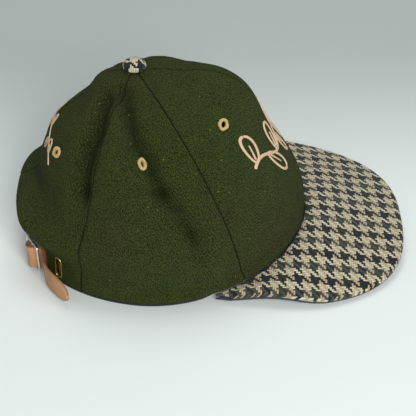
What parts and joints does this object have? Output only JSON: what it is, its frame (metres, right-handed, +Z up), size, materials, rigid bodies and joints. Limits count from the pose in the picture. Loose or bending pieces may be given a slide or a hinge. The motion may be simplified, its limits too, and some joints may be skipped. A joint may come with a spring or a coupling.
{
  "type": "six-panel strapback cap",
  "caption": "Six-panel soft wool cap with a curved check-cloth bill, covered top button and a leather strap with a three-bar slide over the rear opening.",
  "frame": {"origin": "under the middle of the whole cap, level with the bottom edge of the sweatband that it stands on", "axes": "+X forward over the bill, +Y to the wearer's left, +Z up to the top button"},
  "size_m": [0.2736, 0.176, 0.1391],
  "materials": {
    "wool": "brushed wool, olive green",
    "buckram": "stiff open weave",
    "tape": "woven tape",
    "sweatband": "cotton twill",
    "check_cloth": "houndstooth tweed in cream, navy, grey and green",
    "steel": "polished",
    "thread": "stitched",
    "board": "plain",
    "lining": "navy twill",
    "satin_thread": "satin stitch",
    "leather": "smooth tan",
    "brass": "polished"
  },
  "bodies": {
    "cap": {"panel_front_left": "wool", "panel_front_right": "wool", "panel_side_left": "wool", "panel_side_right": "wool", "panel_rear_left": "wool", "panel_rear_right": "wool", "stiffener_left": "buckram", "stiffener_right": "buckram", "seam_tape_front": "tape", "seam_tape_back": "tape", "seam_tape_front_side_left": "tape", "seam_tape_front_side_right": "tape", "seam_tape_rear_side_left": "tape", "seam_tape_rear_side_right": "tape", "arch_facing": "tape", "sweatband": "sweatband", "bill_cover": "check_cloth", "eyelet_front_left": "thread", "eyelet_front_right": "thread", "eyelet_side_left": "thread", "eyelet_side_right": "thread", "eyelet_rear_left": "thread", "eyelet_rear_right": "thread", "bill_board": "board", "bill_lining": "lining", "embroidery_front": "satin_thread", "embroidery_rear": "satin_thread", "strap_span": "leather", "strap_tab": "leather", "tuck_slot": "brass"},
    "strap_bend": {"strap_loop": "leather"},
    "slide": {"slide_buckle": "steel"},
    "tail": {"strap_tail": "leather"},
    "button": {"button_cover": "check_cloth", "button_core": "steel", "button_washer": "steel"}
  },
  "joints": [
    {"name": "buckle_slide", "type": "slide", "parent": "cap", "child": "strap_bend", "axis": [-0.5353, 0.8447, 0], "range_m": [0, 0.005], "deforming": ["strap_span", "strap_tab"]},
    {"name": "buckle_swivel", "type": "hinge", "parent": "strap_bend", "child": "slide", "pos_m": [-0.12311, -0.04363, 0.0122], "axis": [0, 0, 1], "range_deg": [-5, 3]},
    {"name": "tail_lift", "type": "hinge", "parent": "cap", "child": "tail", "pos_m": [-0.11613, -0.05062, 0.0122], "axis": [0, 0, -1], "range_deg": [0, 60]},
    {"name": "button_turn", "type": "hinge", "parent": "cap", "child": "button", "pos_m": [-0.0487, 0, 0.1327], "axis": [0, 0, 1], "continuous": true}
  ]
}
